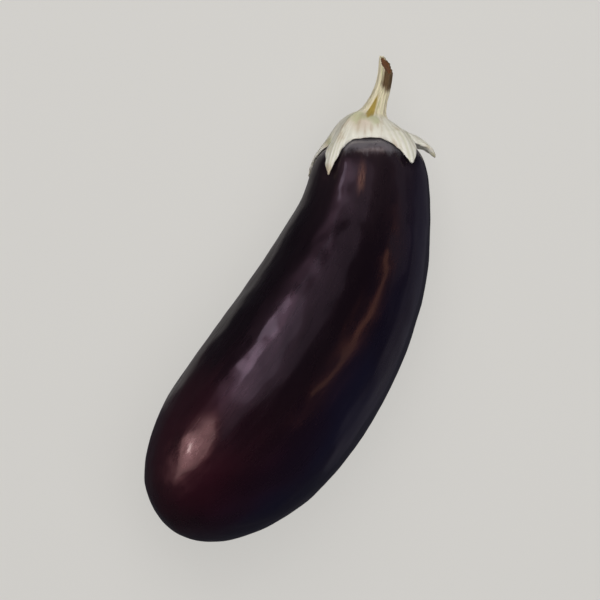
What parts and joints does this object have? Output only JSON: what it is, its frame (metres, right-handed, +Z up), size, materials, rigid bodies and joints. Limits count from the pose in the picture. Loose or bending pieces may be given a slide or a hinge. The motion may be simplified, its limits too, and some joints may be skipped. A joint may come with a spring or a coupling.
{
  "type": "eggplant",
  "caption": "Long, gently bent eggplant with glossy near-black purple skin, a pale green calyx of pointed sepals and a cut stem, lying on its side.",
  "frame": {"origin": "on the surface it lies on, under the middle of the whole eggplant's box", "axes": "+X along the length, from the blossom end to the stem; +Y towards the side that the fruit bends to; +Z up"},
  "size_m": [0.244, 0.093, 0.089],
  "materials": {
    "skin": "smooth waxy fruit skin, glossy, near-black purple with a wine-red cast towards the blossom end",
    "green_flesh": "matt, fleshy and finely ribbed, pale green, drying to straw and brown at the cut end"
  },
  "bodies": {
    "root": {"fruit": "skin", "calyx_and_stem": "green_flesh"}
  },
  "joints": []
}
